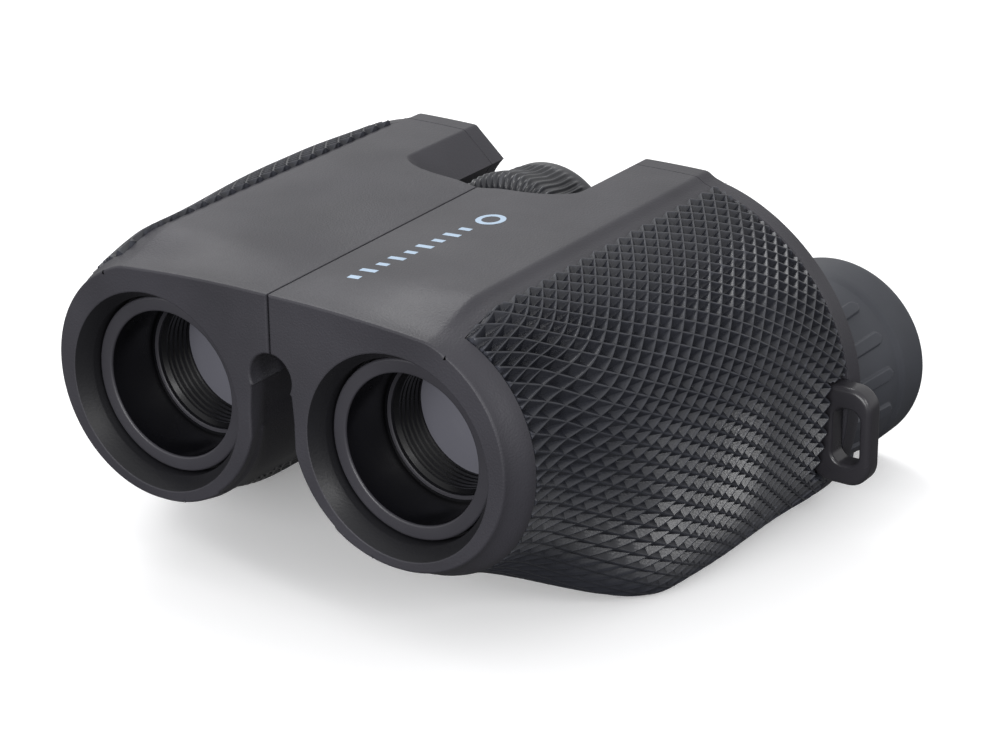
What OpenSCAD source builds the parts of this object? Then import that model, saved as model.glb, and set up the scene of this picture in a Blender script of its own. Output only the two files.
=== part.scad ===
// Compact reverse-porro binoculars: two prism housings on a central hinge, objective tubes that
// slide for focusing, and a wheel between the eyepieces.
// Millimetres. +Z is up, +X is the user's left half and -Y is the way the objectives look.
// The origin is under the middle of the closed-up body, on the surface that it rests on.

/* [Body] */
// Length of the two housings without the eyecups
body_l = 71.4; // [71:0.1:72]
// Length over everything, from the front faces to the eyecup rims
overall_l = 94.5; // [94:0.5:97]
// Height of the objective axes above the resting surface
optic_h = 28.6; // [28:0.1:29.5]
// Half of the gap between the two halves at the seam
seam_gap = 0.2; // [0.15:0.05:0.3]
// Height of the top edge over the objective axis, at the front of the seam
seam_front_z = 18.9; // [18.5:0.1:19.2]
// Height of the top edge over the objective axis, at the wheel
seam_rear_z = 19.7; // [19.3:0.1:20]
// Distance of the straight top ridge from the seam
ridge_x = 25.9; // [25:0.1:26.5]
// Height of the top ridge over the objective axis
ridge_z = 20.6; // [20.2:0.1:21]
// Distance of the grip's upper edge from the seam
edge_x = 28.9; // [28.4:0.1:29.4]
// Height of the grip's upper edge over the objective axis
edge_z = 19.2; // [18.8:0.1:19.6]
// Distance of the widest line of the middle body from the seam
side_x = 50.3; // [49.5:0.1:51]
// Distance of the widest line of the rear body from the seam
rear_side_x = 52.2; // [51.5:0.1:52.6]
// Distance of the lower bulge's middle from the seam
bulge_x = 37; // [36:0.1:38]
// Radius of the lower bulge
bulge_r = 15.8; // [15:0.1:16.4]
// Width of the flat strip that each half rests on
rest_w = 5; // [4:0.5:6]

/* [Front] */
// Distance of the front face's round outline from the seam
face_x = 20.6; // [20.3:0.1:20.9]
// Radius of the front face's round outline
face_r = 17.4; // [17.2:0.1:17.8]
// Length of the plain band in front of the grip
band_l = 4.2; // [3.8:0.1:4.6]
// Radius of the mouth in each front face
mouth_r = 14.7; // [14.4:0.1:14.9]
// Length of the mouth's bevel
mouth_l = 2.4; // [1.5:0.1:3]
// Bevel round the front faces
face_bevel = 0.5; // [0.3:0.1:0.8]

/* [Objectives] */
// Half of the distance between the objective axes
objective_x = 20.65; // [20.4:0.05:20.9]
// Outer radius of a sliding objective tube
tube_r = 12.9; // [12.6:0.05:13]
// Inner radius of a sliding objective tube
tube_bore_r = 10.8; // [10.6:0.05:11]
// Distance of the tube's rim behind the front face, focused at infinity
tube_front_y = 3.4; // [3.1:0.1:4]
// Length of a sliding objective tube
tube_l = 26.2; // [25:0.1:26.4]
// Distance of the objective lens behind the front face
lens_y = 18.9; // [18.5:0.1:19.5]
// Radius of the lens that stays in view
lens_clear_r = 9.2; // [9:0.1:9.6]
// Length of the threaded ring that holds the lens
lens_ring_l = 6.5; // [5:0.1:6.8]

/* [Prisms] */
// Sideways distance from the objective axis to the eyepiece axis
prism_shift = 15.45; // [15.2:0.05:15.6]
// Downward distance from the objective axis to the eyepiece axis
prism_drop = 13.2; // [13:0.05:13.4]
// Width of each prism
prism_w = 13; // [12:0.1:13.2]
// Distance of the shelf between the prisms behind the front face
shelf_y = 45; // [44.6:0.1:45.2]
// Thickness of the shelf
shelf_t = 3; // [2.8:0.1:3.2]

/* [Eyepieces] */
// Outer radius of an eyepiece barrel
eye_barrel_r = 10; // [9.8:0.05:10]
// Inner radius of an eyepiece barrel
eye_bore_r = 8.7; // [8.5:0.05:8.8]
// Largest radius of a rubber eyecup
eyecup_r = 14.75; // [14.4:0.05:15]
// Radius of an eyecup where it starts
eyecup_base_r = 13.7; // [13.5:0.1:14]
// Length of the focusing ring under the user's right eyecup
dioptre_l = 5.6; // [5:0.1:6]
// Travel of the user's right eyepiece each way
dioptre_travel = 1; // [0.8:0.1:1]

/* [Hinge and focus] */
// Height of the hinge axis over the objective axis
hinge_z = 6.8; // [6.6:0.1:7]
// Radius of the gallery that the hinge sits in
gallery_r = 3.5; // [3.5:0.05:3.7]
// Radius of the hinge knuckles
knuckle_r = 3.3; // [3.2:0.05:3.3]
// Radius of the front hinge pin
pin_r = 1.6; // [1.4:0.05:1.7]
// Radius of the focus screw's smooth journal
journal_r = 1.9; // [1.8:0.05:1.9]
// Radius of the focus screw's threaded end
screw_r = 1.5; // [1.4:0.05:1.6]
// Radius of the focus wheel
wheel_r = 11; // [10.6:0.1:13]
// Distance of the wheel's front rim behind the front face
wheel_y = 57; // [56.5:0.1:58]
// Width of the wheel
wheel_w = 13; // [12:0.1:13.4]
// Radius of the pocket that the wheel turns in
pocket_r = 13.7; // [13.6:0.1:13.9]
// Distance of the pocket's front wall behind the front face
pocket_y = 49.7; // [49.5:0.1:50.5]
// Angle of the pocket's flared walls above the horizontal
pocket_flare = 42; // [40:1:45]

/* [Grip] */
// Thickness of the rubber grip with its raised pattern
grip_t = 2; // [1.6:0.1:2.2]
// Distance of the grip's rear edge behind the front face
grip_end_y = 68; // [67.5:0.1:68]

/* [Strap lugs] */
// Thickness of a strap lug along the body
lug_t = 3.5; // [3:0.1:3.6]
// Distance of a strap lug behind the front face
lug_y = 64.4; // [64:0.1:64.6]
// Distance of a strap lug's outer face from the seam
lug_x = 57.4; // [57:0.1:57.8]
// Height of the slot for the strap
lug_slot_h = 8.6; // [8:0.1:9]
// Width of the slot for the strap
lug_slot_w = 4.4; // [4.2:0.1:4.5]

/* [Fasteners] */
// Radius of a cover screw's shank
cover_screw_r = 0.9; // [0.8:0.05:0.95]
// Radius of a cover screw's head
cover_head_r = 1.6; // [1.5:0.05:1.7]
// Length of a cover screw under its head
cover_screw_l = 7; // [6:0.5:8]

/* [Hidden] */
$fn = 64;
SIDES = ["left", "right"];

// Colours
charcoal = [0.20, 0.20, 0.22];
rubber = [0.13, 0.13, 0.14];
gloss_black = [0.05, 0.05, 0.06];
satin_grey = [0.30, 0.31, 0.34];
steel = [0.62, 0.63, 0.65];
lens_tint = [0.62, 0.68, 0.74, 0.5];

// Outline of a half's cross-section, seen from behind the object's front face:
// along the top from the seam, round the outer side, under the bulge and up the inner wall.
inner_x = 3.7;
wall_top = [3.4, 5];
face_z = 1.2;
band_x = 22;
band_z = 0.3;
band_r = 17.8;
crown_x = 24;
side_z = -1.8;
rear_side_z = -8.7;
rear_bottom_rise = 0.3;
rear_bulge_x = 36;
swell_start = 1.7;
swell_y = 35.5;
spread_y = 49.4;
taper_y = 56.4;
edge_rise_l = 12;
top_crown = 0.35;
round_n = 2;
rear_n = 1.85;
bulge_n = 2.28;
TOP = 6;
UPPER = 12;
LOWER = 10;
UNDER = 5;
GRIP_FIRST = TOP + 2;
GRIP_LAST = TOP + 1 + UPPER + LOWER + 2;

function mix(a, b, t) = a + (b - a) * t;
function smooth(t) = let (u = min(max(t, 0), 1)) u * u * (3 - 2 * u);
function swell(y) = smooth((y - swell_start) / (swell_y - swell_start));
function spread(y) = smooth((y - swell_start) / (spread_y - swell_start));
function taper(y) = smooth((y - taper_y) / (body_l - taper_y));
function band(y) = smooth(y / band_l);
function barrel_x(y) = mix(face_x, band_x, band(y));
function barrel_z(y) = mix(face_z, band_z, band(y));
function barrel_r(y) = mix(face_r, band_r, band(y));
function widest_x(y) = mix(mix(barrel_x(y) + barrel_r(y), side_x, spread(y)), rear_side_x, taper(y));
function widest_z(y) = mix(mix(barrel_z(y), side_z, spread(y)), rear_side_z, taper(y));
function bottom_z(y) =
    mix(mix(barrel_z(y) - barrel_r(y), -optic_h, swell(y)), rear_bottom_rise - optic_h, taper(y));
function bottom_x(y) = mix(mix(barrel_x(y), bulge_x, swell(y)), rear_bulge_x, taper(y));
function bottom_r(y) = mix(barrel_r(y), bulge_r, swell(y));
function rest_half(y) = rest_w / 2 * max(swell(y), 0.15);
function seam_z(y) = mix(seam_front_z, seam_rear_z, min(y / pocket_y, 1));

// Height of the barrel's circle over a given distance from the seam
function barrel_top(y, x) = barrel_z(y) + sqrt(pow(barrel_r(y), 2) - pow(x - barrel_x(y), 2));
function ridge_at(y) = mix(barrel_top(y, ridge_x), ridge_z, smooth(y / edge_rise_l));
function edge_at(y) = mix(barrel_top(y, edge_x), edge_z, smooth(y / edge_rise_l));

// Point on a quarter of a superellipse, from 0 on its x axis to 90 on its z axis
function rounded(t, a, h, n) = [a * pow(max(cos(t), 0), 2 / n), h * pow(max(sin(t), 0), 2 / n)];

function top_points(y) = concat(
    [for (i = [0:TOP - 1]) let (t = i / TOP) [
        mix(seam_gap, ridge_x, t),
        mix(seam_z(y), ridge_at(y), t) + 4 * top_crown * t * (1 - t)
    ]],
    [[ridge_x, ridge_at(y)], [mix(ridge_x, edge_x, 0.5), mix(ridge_at(y), edge_at(y), 0.45)]]
);

function upper_points(y) =
    let (
        n = mix(round_n, rear_n, taper(y)),
        cx = mix(barrel_x(y), crown_x, spread(y)),
        a = widest_x(y) - cx,
        u = (edge_x - cx) / a,
        h = (edge_at(y) - widest_z(y)) / pow(1 - pow(u, n), 1 / n),
        first = acos(pow(u, n / 2))
    )
    [for (i = [0:UPPER - 1]) [cx, widest_z(y)] + rounded(first * (1 - i / (UPPER - 1)), a, h, n)];

function lower_points(y) =
    let (
        n = mix(round_n, bulge_n, swell(y)),
        fx = bottom_x(y) + rest_half(y),
        a = widest_x(y) - fx,
        h = widest_z(y) - bottom_z(y)
    )
    [for (i = [1:LOWER - 1]) let (p = rounded(90 * i / (LOWER - 1), a, h, n))
        [fx + p[0], widest_z(y) - p[1]]];

function on_circle(c, r, angle) = [max(inner_x, c[0] + r * cos(angle)), c[1] + r * sin(angle)];

function under_points(y) =
    let (
        a = [barrel_x(y), barrel_z(y)],
        ra = barrel_r(y),
        rb = bottom_r(y),
        b = [bottom_x(y) - rest_half(y), bottom_z(y) + rb],
        d = b - a,
        reach = max(norm(d), 0.01),
        tangent = atan2(d[1], d[0]) - acos(min(max((ra - rb) / reach, -1), 1)),
        turn = swell(y) > 0.001 ? min(max(tangent, -172), -96) : -126
    )
    concat(
        [for (i = [0:UNDER]) on_circle(b, rb, mix(-90, turn, i / UNDER))],
        [for (i = [1:UNDER]) on_circle(a, ra, mix(turn, -180, i / UNDER))],
        [wall_top, [seam_gap, hinge_z]]
    );

function outline(y) = concat(top_points(y), upper_points(y), lower_points(y), under_points(y));

// Unit normals that point out of the outline
function normals(p) = let (n = len(p)) [for (i = [0:n - 1])
    let (d = p[(i + 1) % n] - p[(i + n - 1) % n]) [-d[1], d[0]] / norm(d)];
function shrunk(p, t) = let (n = normals(p)) [for (i = [0:len(p) - 1]) p[i] - t * n[i]];

// Outline p with the grip's bed sunk by a depth
function bedded(p, depth) =
    let (q = shrunk(p, depth))
    concat(
        [for (i = [0:GRIP_FIRST]) p[i]],
        [for (i = [GRIP_FIRST:GRIP_LAST]) q[i]],
        [for (i = [GRIP_LAST:len(p) - 1]) p[i]]
    );
function grip_part(ring) = [for (i = [GRIP_FIRST:GRIP_LAST]) ring[i]];

function at_y(ring, y) = [for (p = ring) [p[0], y, p[1]]];

// Closed skin over rings that all have the same number of points. The first ring is closed by
// triangles that meet at the hub, where one is given.
module loft(rings, hub = undef) {
    n = len(rings[0]);
    last = len(rings) - 1;
    points = concat([for (ring = rings) each ring], is_undef(hub) ? [] : [hub]);
    sides = [for (k = [0:last - 1]) for (i = [0:n - 1]) let (j = (i + 1) % n) each [
        [k * n + i, (k + 1) * n + j, k * n + j],
        [k * n + i, (k + 1) * n + i, (k + 1) * n + j]
    ]];
    front = is_undef(hub) ? [[for (i = [0:n - 1]) i]]
        : [for (i = [0:n - 1]) [i, (i + 1) % n, len(points) - 1]];
    back = [for (i = [n - 1:-1:0]) last * n + i];
    polyhedron(points, concat(front, sides, [back]), convexity = 8);
}

// Curved sheet between two grids of points, with some columns left out of its last row
module sheet(outer, inner, left_out) {
    rows = len(outer) - 1;
    n = len(outer[0]);
    under = n * len(outer);
    points = concat([for (row = outer) each row], [for (row = inner) each row]);
    function has(k, i) = k >= 0 && k < rows && i >= 0 && i < n - 1
        && !(k == rows - 1 && i >= left_out[0] && i < left_out[1]);
    function wall(a, b) = [[a, b, under + b], [a, under + b, under + a]];
    faces = [for (k = [0:rows - 1]) for (i = [0:n - 2]) if (has(k, i))
        let (a = k * n + i, b = a + 1, c = b + n, d = a + n) each concat(
            [[a, c, b], [a, d, c]],
            [[under + a, under + b, under + c], [under + a, under + c, under + d]],
            has(k - 1, i) ? [] : wall(a, b),
            has(k, i + 1) ? [] : wall(b, c),
            has(k + 1, i) ? [] : wall(c, d),
            has(k, i - 1) ? [] : wall(d, a)
        )];
    polyhedron(points, faces, convexity = 8);
}

// Places
eye_x = objective_x + prism_shift;
eye_z = -prism_drop;
shelf_back_y = shelf_y + shelf_t;
cover_y = 68.25;
grip_start_y = 4.6;
step = 0.05;
barely = 0.02;
tube_clearance = 0.05;
turn_clearance = 0.05;
lug_room = 0.5;
grip_stations = concat([for (i = [0:15]) mix(grip_start_y, lug_y - lug_room, i / 15)], [grip_end_y]);

module seat() {
    translate([0, -overall_l / 2, optic_h]) children();
}

// One half of the object: the left one as modelled, the right one mirrored
module half(side) {
    if (side == "left") seat() children();
    else mirror([1, 0, 0]) seat() children();
}

// Cylinder or cone along +Y
module rod(x, z, y0, y1, r, r2 = undef) {
    translate([x, y0, z]) rotate([-90, 0, 0])
        cylinder(h = y1 - y0, r1 = r, r2 = is_undef(r2) ? r : r2);
}

// Solid of revolution along +Y: points are [radius, distance behind the front face]
module turned(x, z, points) {
    translate([x, 0, z]) rotate([-90, 0, 0]) rotate_extrude() polygon(points);
}

// Outline in x and z, drawn out along +Y
module slab(y0, y1) {
    translate([0, y1, 0]) rotate([90, 0, 0]) linear_extrude(y1 - y0) children();
}

module hinge_rod(y0, y1, r) {
    rod(0, hinge_z, y0, y1, r);
}

// Housing
knuckle_gap = 0.3;
front_knuckle_y = [8, 13, 18];
rear_knuckle_y = [40.6, 43.6, 46.6];
bush_r = 2.6;
prism_room = [
    [15.3, 8], [17, 14.6], [34, 15], [40.6, 9.6], [44.4, 2], [45, -12], [43, -20], [37, -26],
    [30, -24.4], [23.5, -18], [15.3, -9.6]
];
prism_room_y = 30.9;
arm_y = 25;
arm_w = 2.6;
arm_h = 4;
focus_forward = 3;
focus_back = 0.6;
cover_screw_places = [[20.5, 17.7], [46.7, 1], [17.2, -14.6]];
lug_z = -12.9;
lug_h = 15.2;
lug_root_x = 45.6;
lug_slot_x = lug_x - 1.7 - lug_slot_w;

module knuckle(y0, y1) {
    hinge_rod(y0, y1, knuckle_r);
    translate([2.4, y0, hinge_z - 2.2]) cube([3.2, y1 - y0, 4.4]);
}

module knuckles(side) {
    shift = side == "left" ? 0 : 1;
    half_gap = knuckle_gap / 2;
    knuckle(front_knuckle_y[shift] + half_gap, front_knuckle_y[shift + 1] - half_gap);
    knuckle(rear_knuckle_y[shift] + half_gap, rear_knuckle_y[shift + 1] - half_gap);
}

module body_blank() {
    loft(concat(
        [at_y(bedded(shrunk(outline(0), face_bevel), 0), 0)],
        [for (y = [face_bevel, 1.6, 2.9, band_l, grip_start_y - step])
            at_y(bedded(outline(y), barely), y)],
        [for (y = grip_stations) at_y(bedded(outline(y), grip_t), y)],
        [for (y = [grip_end_y + step, cover_y]) at_y(bedded(outline(y), barely), y)]
    ), [objective_x, 0, 0]);
}

// Pocket for the wheel: round below, flared for a fingertip above
module wheel_pocket() {
    reach = 40;
    hinge_rod(pocket_y, body_l + 1, pocket_r);
    slab(pocket_y, body_l + 1) polygon([
        [0, hinge_z], reach * [cos(pocket_flare), sin(pocket_flare)] + [0, hinge_z],
        [0, hinge_z + reach]
    ]);
}

module objective_bore() {
    guide_y = mouth_l + 3;
    rod(objective_x, 0, -0.01, mouth_l, mouth_r, tube_r + 0.4);
    rod(objective_x, 0, mouth_l - 0.01, guide_y, tube_r + 0.4);
    rod(objective_x, 0, guide_y - 0.01, shelf_y, tube_r + tube_clearance);
}

// Window for the arm that links the focus nut to the objective tube
module arm_window() {
    room = 0.5;
    translate([2.2, arm_y - focus_forward - room, hinge_z - arm_h / 2 - room])
        cube([9, arm_w * 2 + focus_forward + focus_back + 3 * room, arm_h + 2 * room]);
}

// Pocket for the strap lug's root, and the shallow notch behind it that clears the strap
module lug_seat() {
    notch_h = lug_slot_h + 0.4;
    translate([lug_root_x, lug_y, lug_z - lug_h / 2]) cube([lug_x - lug_root_x, lug_t, lug_h]);
    translate([lug_slot_x - 0.1, lug_y, lug_z - notch_h / 2])
        cube([lug_slot_w, body_l - lug_y + 1, notch_h]);
}

module housing(side) {
    color(charcoal) half(side) difference() {
        union() {
            difference() {
                body_blank();
                hinge_rod(-1, pocket_y + 1, gallery_r);
                arm_window();
            }
            knuckles(side);
        }
        hinge_rod(front_knuckle_y[0], front_knuckle_y[2] + 1, pin_r + turn_clearance);
        hinge_rod(rear_knuckle_y[0], rear_knuckle_y[2] + 1, bush_r + turn_clearance);
        objective_bore();
        slab(prism_room_y, cover_y + 1) polygon(prism_room);
        wheel_pocket();
        lug_seat();
        for (p = cover_screw_places) rod(p[0], p[1], cover_y - cover_screw_l, cover_y + 1, cover_screw_r);
    }
}

// Rear cover with the eyepiece's collar
collar_end_y = body_l + 0.8;
module rear_cover(side) {
    rim = 0.6;
    color(charcoal) half(side) difference() {
        union() {
            loft([
                at_y(outline(cover_y), cover_y), at_y(outline(body_l - rim), body_l - rim),
                at_y(shrunk(outline(body_l), rim), body_l)
            ]);
            rod(eye_x, eye_z, cover_y + 1, collar_end_y, eye_barrel_r + 2);
        }
        wheel_pocket();
        lug_seat();
        rod(eye_x, eye_z, cover_y - 1, collar_end_y + 1, eye_barrel_r + tube_clearance);
        for (p = cover_screw_places) {
            rod(p[0], p[1], cover_y - 1, body_l + 1, cover_screw_r);
            rod(p[0], p[1], body_l - 1.2, body_l + 1, cover_head_r);
        }
    }
}

module cover_screws(side) {
    color(steel) half(side) for (p = cover_screw_places) {
        rod(p[0], p[1], cover_y - cover_screw_l, body_l - 1.2, cover_screw_r);
        rod(p[0], p[1], body_l - 1.2, body_l - 0.2, cover_head_r);
    }
}

// Rubber grip, with a notch at its rear edge round the strap lug
module grip(side) {
    notch = [UPPER - 2, UPPER + 3];
    color(rubber) half(side) sheet(
        [for (y = grip_stations) at_y(grip_part(outline(y)), y)],
        [for (y = grip_stations) at_y(grip_part(shrunk(outline(y), grip_t)), y)],
        notch
    );
}

// Strap lug: a loop that the strap passes through along the body
module lug_blank() {
    round_r = 2.6;
    slab(lug_y, lug_y + lug_t) hull()
        for (x = [lug_root_x + round_r, lug_x - round_r], s = [-1, 1])
            translate([x, lug_z + s * (lug_h / 2 - round_r)]) circle(round_r, $fn = 32);
}

module strap_lug(side) {
    color(gloss_black) half(side) difference() {
        lug_blank();
        translate([lug_slot_x, lug_y - 1, lug_z - lug_slot_h / 2])
            cube([lug_slot_w, lug_t + 2, lug_slot_h]);
    }
}

// Objective tube with everything that it carries
tube_back_y = tube_front_y + tube_l;
lens_ring_y = lens_y - lens_ring_l;
crown_t = 3.4;
flint_t = 2;
flint_end_y = lens_y + crown_t + flint_t;
ledge_r = tube_bore_r - 0.4;
lens_r = ledge_r - 0.1;
seat_r = 9.6;
module objective_tube(side) {
    lip = 0.35;
    color(satin_grey) half(side) turned(objective_x, 0, [
        [tube_bore_r + lip, tube_front_y], [tube_r - lip, tube_front_y],
        [tube_r, tube_front_y + lip], [tube_r, tube_back_y], [seat_r, tube_back_y],
        [seat_r, flint_end_y], [ledge_r, flint_end_y],
        [ledge_r, lens_ring_y], [tube_bore_r, lens_ring_y], [tube_bore_r, tube_front_y + lip]
    ]);
}

// Threaded ring with light-trapping grooves
module objective_ring(side) {
    grooves = 4;
    groove = 0.4;
    pitch = (lens_ring_l - 2.2) / grooves;
    inner = [for (i = [0:grooves - 1]) each [
        [lens_clear_r + 0.1, lens_y - i * pitch - 0.15],
        [lens_clear_r + 0.1 + groove, lens_y - (i + 0.5) * pitch]
    ]];
    color(gloss_black) half(side) turned(objective_x, 0, concat(
        inner,
        [[9.8, lens_ring_y + 0.8], [10, lens_ring_y], [ledge_r, lens_ring_y],
        [ledge_r, lens_y - 0.15]]
    ));
}

// Lens between two spherical faces: bulge is how far each face stands out at its middle
module lens(x, z, y0, y1, r, front_bulge, back_bulge) {
    steps = 10;
    front = [for (i = [0:steps]) let (t = i / steps) [r * t, y0 + front_bulge * t * t]];
    back = [for (i = [steps:-1:0]) let (t = i / steps) [r * t, y1 - back_bulge * t * t]];
    turned(x, z, concat(front, back));
}

module objective_crown(side) {
    color(lens_tint) half(side)
        lens(objective_x, 0, lens_y - 0.8, lens_y + crown_t, lens_r, 0.8, 0);
}

module objective_flint(side) {
    color(lens_tint) half(side)
        lens(objective_x, 0, lens_y + crown_t, flint_end_y - 0.3, lens_r, 0, -0.3);
}

// Arm from the focus nut to the objective tube. The right one turns on the nut as the halves fold.
nut_r = 2.4;
arm_gap = 0.4;
module focus_arm(side) {
    y0 = side == "left" ? arm_y : arm_y + arm_w + arm_gap;
    hub_bore = side == "left" ? nut_r : nut_r + turn_clearance;
    color(satin_grey) half(side) difference() {
        union() {
            hinge_rod(y0, y0 + arm_w, knuckle_r);
            translate([2, y0, hinge_z - arm_h / 2]) cube([9, arm_w, arm_h]);
        }
        hinge_rod(y0 - 1, y0 + arm_w + 1, hub_bore);
        rod(objective_x, 0, y0 - 1, y0 + arm_w + 1, tube_r);
    }
}

// Prisms and their shelf
module prism_shelf(side) {
    window_r = 5.5;
    color(satin_grey) half(side) difference() {
        slab(shelf_y, shelf_back_y) offset(delta = -0.1) polygon(prism_room);
        rod(objective_x + 0.9, 0, shelf_y - 1, shelf_back_y + 1, window_r - 1);
        rod(eye_x, 0, shelf_y - 1, shelf_back_y + 1, window_r);
        rod(eye_x, eye_z, shelf_y - 1, shelf_back_y + 1, window_r);
    }
}

module rear_prism(side) {
    middle = objective_x + prism_shift / 2;
    clip = 2.6;
    color(lens_tint) half(side) translate([0, 0, -prism_w / 2]) linear_extrude(prism_w) polygon([
        [middle - prism_shift + clip, shelf_back_y],
        [middle - prism_shift + clip, shelf_back_y + clip],
        [middle, shelf_back_y + prism_shift],
        [middle + prism_shift - clip, shelf_back_y + clip],
        [middle + prism_shift - clip, shelf_back_y]
    ]);
}

module front_prism(side) {
    middle = eye_z / 2;
    clip = 1.5;
    color(lens_tint) half(side) translate([eye_x - prism_w / 2, 0, 0])
        rotate([90, 0, 90]) linear_extrude(prism_w) polygon([
            [shelf_y, middle - prism_drop + clip], [shelf_y, middle + prism_drop - clip],
            [shelf_y - clip, middle + prism_drop - clip], [shelf_y - prism_drop, middle],
            [shelf_y - clip, middle - prism_drop + clip]
        ]);
}

// Sprung straps that hold the prisms on the shelf
module prism_clips(side) {
    t = 0.4;
    w = 4;
    out = prism_w / 2 + 0.3;
    rear_apex_y = shelf_back_y + prism_shift;
    front_apex_y = shelf_y - prism_drop;
    middle_x = objective_x + prism_shift / 2;
    color(steel) half(side) {
        for (s = [-1, 1])
            translate([middle_x - w / 2, shelf_back_y, s * (out + t / 2) - t / 2])
                cube([w, prism_shift + t, t]);
        translate([middle_x - w / 2, rear_apex_y, -out - t / 2]) cube([w, t, 2 * out + t]);
        for (s = [-1, 1])
            translate([eye_x + s * (out + t / 2) - t / 2, front_apex_y - t, eye_z / 2 - w / 2])
                cube([t, prism_drop + t, w]);
        translate([eye_x - out - t / 2, front_apex_y - t, eye_z / 2 - w / 2]) cube([2 * out + t, t, w]);
    }
}

// Eyepiece
eye_barrel_y = 69.4;
eye_barrel_end_y = 87.6;
eye_lens_y = 81.4;
eye_lens_t = 4.2;
stop_y = 74.2;
module eyepiece_barrel(side) {
    color(gloss_black) half(side) turned(eye_x, eye_z, [
        [eye_bore_r - 1.2, eye_barrel_y], [eye_barrel_r, eye_barrel_y],
        [eye_barrel_r, eye_barrel_end_y], [eye_bore_r, eye_barrel_end_y],
        [eye_bore_r, eye_barrel_y + 1], [eye_bore_r - 1.2, eye_barrel_y + 1]
    ]);
}

module field_lens(side) {
    color(lens_tint) half(side)
        lens(eye_x, eye_z, eye_barrel_y + 1, eye_barrel_y + 4, eye_bore_r, 0, 1.2);
}

// Spacer between the lenses, with the field stop in it
module eyepiece_stop(side) {
    color(gloss_black) half(side) turned(eye_x, eye_z, [
        [eye_bore_r - 0.7, eye_barrel_y + 4], [eye_bore_r, eye_barrel_y + 4],
        [eye_bore_r, eye_lens_y], [eye_bore_r - 0.7, eye_lens_y],
        [eye_bore_r - 0.7, stop_y + 0.8], [5.6, stop_y + 0.8], [5.6, stop_y],
        [eye_bore_r - 0.7, stop_y]
    ]);
}

module eye_lens(side) {
    color(lens_tint) half(side)
        lens(eye_x, eye_z, eye_lens_y, eye_lens_y + eye_lens_t, eye_bore_r, 0.6, 1);
}

module eyepiece_ring(side) {
    color(gloss_black) half(side) turned(eye_x, eye_z, [
        [7.6, eye_lens_y + eye_lens_t], [eye_bore_r, eye_lens_y + eye_lens_t],
        [eye_bore_r, eye_barrel_end_y], [7, eye_barrel_end_y]
    ]);
}

// Rubber eyecup, pushed over the barrel
eyecup_y = collar_end_y + 0.2;
eyecup_land_y = overall_l - 8;
dioptre_gap = dioptre_travel + 0.35;
module eyecup(side) {
    start = side == "left" ? eyecup_y : eyecup_y + dioptre_l + dioptre_gap;
    rim = 1.2;
    color(rubber) half(side) turned(eye_x, eye_z, [
        [eye_barrel_r, start], [eyecup_base_r, start],
        [mix(eyecup_base_r, eyecup_r, 0.7), mix(start, eyecup_land_y, 0.4)],
        [eyecup_r, eyecup_land_y], [eyecup_r, overall_l - rim],
        [eyecup_r - rim / 2, overall_l - 0.3], [eyecup_r - rim, overall_l],
        [12.6, overall_l], [11.8, overall_l - rim], [10.9, eye_barrel_end_y + 1],
        [8, eye_barrel_end_y + 1], [8, eye_barrel_end_y], [eye_barrel_r, eye_barrel_end_y]
    ]);
}

module dioptre_ring() {
    color(charcoal) half("right") turned(eye_x, eye_z, [
        [eye_barrel_r + turn_clearance, eyecup_y], [eyecup_base_r - 0.5, eyecup_y],
        [eyecup_base_r, eyecup_y + 0.5], [eyecup_base_r, eyecup_y + dioptre_l - 0.5],
        [eyecup_base_r - 0.5, eyecup_y + dioptre_l], [eye_barrel_r + turn_clearance, eyecup_y + dioptre_l]
    ]);
}

// Hinge and focus drive
bush_y = [rear_knuckle_y[0] - 0.6, rear_knuckle_y[2] + 0.6];
collar_y = [bush_y[1] + 0.2, bush_y[1] + 1.6];
screw_tip_y = 20.2;
wheel_end_y = wheel_y + wheel_w;
module hinge_pin() {
    head_r = 2.9;
    color(steel) seat() {
        hinge_rod(front_knuckle_y[0] - 0.2, front_knuckle_y[2] + 0.9, pin_r);
        hinge_rod(front_knuckle_y[0] - 1.2, front_knuckle_y[0] - 0.2, head_r);
    }
}

module hinge_bush() {
    color(steel) seat() difference() {
        hinge_rod(bush_y[0], bush_y[1], bush_r);
        hinge_rod(bush_y[0] - 1, bush_y[1] + 1, journal_r + turn_clearance);
    }
}

module focus_screw() {
    color(steel) seat() {
        hinge_rod(screw_tip_y, bush_y[0] - 1, screw_r);
        hinge_rod(bush_y[0] - 1, wheel_end_y - 2, journal_r);
        hinge_rod(collar_y[0], collar_y[1], knuckle_r - 0.2);
    }
}

module focus_nut() {
    color("goldenrod") seat() difference() {
        hinge_rod(arm_y - 0.6, arm_y + 2 * arm_w + arm_gap + 0.6, nut_r);
        hinge_rod(arm_y - 2, arm_y + 2 * arm_w + 3, screw_r + turn_clearance);
    }
}

module focus_wheel() {
    shoulder = 3;
    hollow_r = 8.6;
    color(rubber) seat() turned(0, hinge_z, [
        [journal_r, wheel_y], [wheel_r - shoulder, wheel_y],
        for (i = [1:6]) [wheel_r - shoulder * (1 - sin(15 * i)), wheel_y + shoulder * (1 - cos(15 * i))],
        [wheel_r, wheel_end_y - 1.6], [wheel_r - 0.5, wheel_end_y - 0.5],
        [wheel_r - 1.6, wheel_end_y], [hollow_r, wheel_end_y], [hollow_r, wheel_end_y - 2],
        [journal_r, wheel_end_y - 2]
    ]);
}

module wheel_cap() {
    color(charcoal) seat() turned(0, hinge_z, [
        [0, wheel_end_y - 2], [8.6, wheel_end_y - 2], [8.6, wheel_end_y - 0.4],
        [7.8, wheel_end_y + 0.2], [0, wheel_end_y + 0.6]
    ]);
}

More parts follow.
